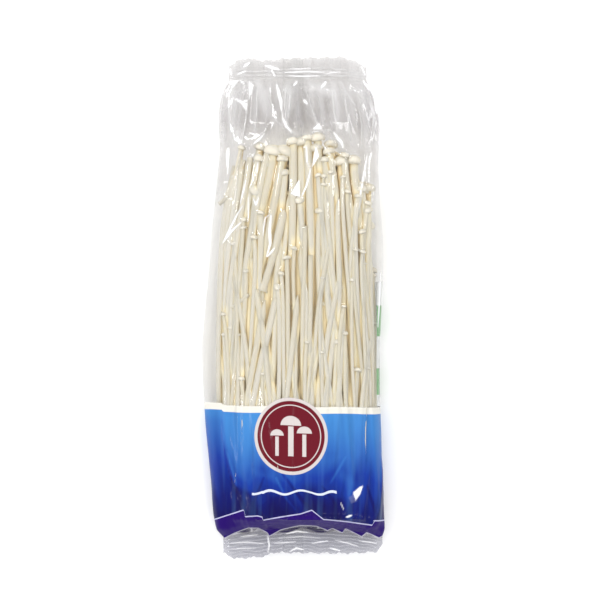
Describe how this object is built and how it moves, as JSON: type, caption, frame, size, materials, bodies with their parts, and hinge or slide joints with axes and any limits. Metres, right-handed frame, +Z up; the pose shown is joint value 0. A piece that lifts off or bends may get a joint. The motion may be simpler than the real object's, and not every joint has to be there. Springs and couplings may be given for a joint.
{
  "type": "enoki mushroom bunch in a film bag",
  "caption": "Bunch of thin-stemmed enoki mushrooms with small button caps, fused at the root, lying in a clear film bag with crimped ends and a printed band.",
  "frame": {"origin": "on the surface that the bag lies on, under the middle of the bag's outline", "axes": "+Y along the stems from the root to the caps, +Z up from the back of the bag to its front, +X across the bag"},
  "size_m": [0.0866, 0.2416, 0.029],
  "materials": {
    "mushroom": "moist pale ivory flesh with a soft sheen",
    "film": "clear glossy packing film, printed blue to violet over its root end"
  },
  "bodies": {
    "root": {"bunch": "mushroom", "loose_mushroom": "mushroom", "loose_stem_short": "mushroom", "loose_stem_cross": "mushroom", "bag": "film"}
  },
  "joints": []
}
